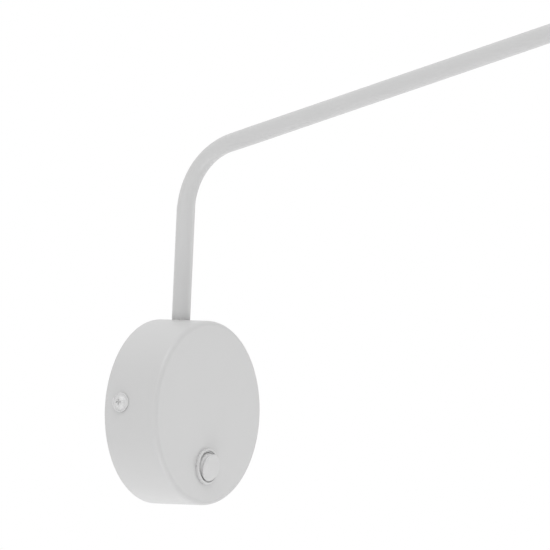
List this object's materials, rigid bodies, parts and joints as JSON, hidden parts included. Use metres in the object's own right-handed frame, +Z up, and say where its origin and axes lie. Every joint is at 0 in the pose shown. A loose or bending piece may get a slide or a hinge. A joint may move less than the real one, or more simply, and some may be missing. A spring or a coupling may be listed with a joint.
{
  "type": "swing arm wall lamp",
  "caption": "Wall lamp with a round switched canopy, a bent tube arm that swivels in the canopy's top, and a small dome shade at the arm's end.",
  "frame": {"origin": "centre of the canopy's back, on the wall", "axes": "+Z up, +Y into the wall, so the lamp stands out along -Y, +X to the right for someone facing the wall"},
  "size_m": [0.18, 0.65, 0.3821],
  "materials": {
    "grey_paint": "fine matt powder coat, pale grey",
    "bright_screw": "bright nickel plate",
    "switch_plastic": "satin moulded, pale grey",
    "zinc_steel": "zinc plated",
    "cast_alloy": "as cast",
    "nylon": "natural, pale grey",
    "fibre": "vulcanised fibre",
    "white_plastic": "moulded, white",
    "steatite": "unglazed ceramic",
    "brass": "turned",
    "flex_sheath": "PVC sheath, white",
    "live_insulation": "PVC insulation, brown",
    "earth_insulation": "PVC insulation, green and yellow",
    "opal_glass": "opal, matt"
  },
  "bodies": {
    "canopy": {"canopy_cover": "grey_paint", "wall_bracket": "zinc_steel", "side_screws": "bright_screw", "seat_block": "cast_alloy", "stop_pin": "zinc_steel", "saddle_washer": "nylon", "terminal_block": "white_plastic", "terminal_inserts": "brass", "terminal_screws": "zinc_steel", "earth_screw": "brass", "earth_lug": "zinc_steel", "earth_lead": "earth_insulation", "switch_leads": "live_insulation", "flex_tail": "flex_sheath", "switch_housing": "switch_plastic", "switch_terminals": "zinc_steel"},
    "rocker": {"switch_rocker": "switch_plastic"},
    "arm": {"arm_tube": "grey_paint", "swivel_stud": "zinc_steel", "friction_washer": "fibre", "stop_washer": "zinc_steel", "spring_washer": "zinc_steel", "swivel_nut": "zinc_steel", "arm_flex": "flex_sheath", "head_nipple": "zinc_steel", "holder_cap": "grey_paint", "head_nut": "zinc_steel", "lampholder_body": "white_plastic", "lampholder_insert": "steatite", "lampholder_shell": "brass", "lampholder_contact": "brass", "shade": "grey_paint", "shade_ring": "white_plastic", "bulb_glass": "opal_glass", "bulb_base": "white_plastic", "bulb_cap": "bright_screw"}
  },
  "joints": [
    {"name": "arm_swivel", "type": "hinge", "parent": "canopy", "child": "arm", "pos_m": [0, -0.015, 0], "axis": [0, 0, 1], "range_deg": [-75, 75]},
    {"name": "switch_rock", "type": "hinge", "parent": "canopy", "child": "rocker", "pos_m": [0, -0.0398, -0.0347], "axis": [-1, 0, 0], "range_deg": [0, 22]}
  ]
}
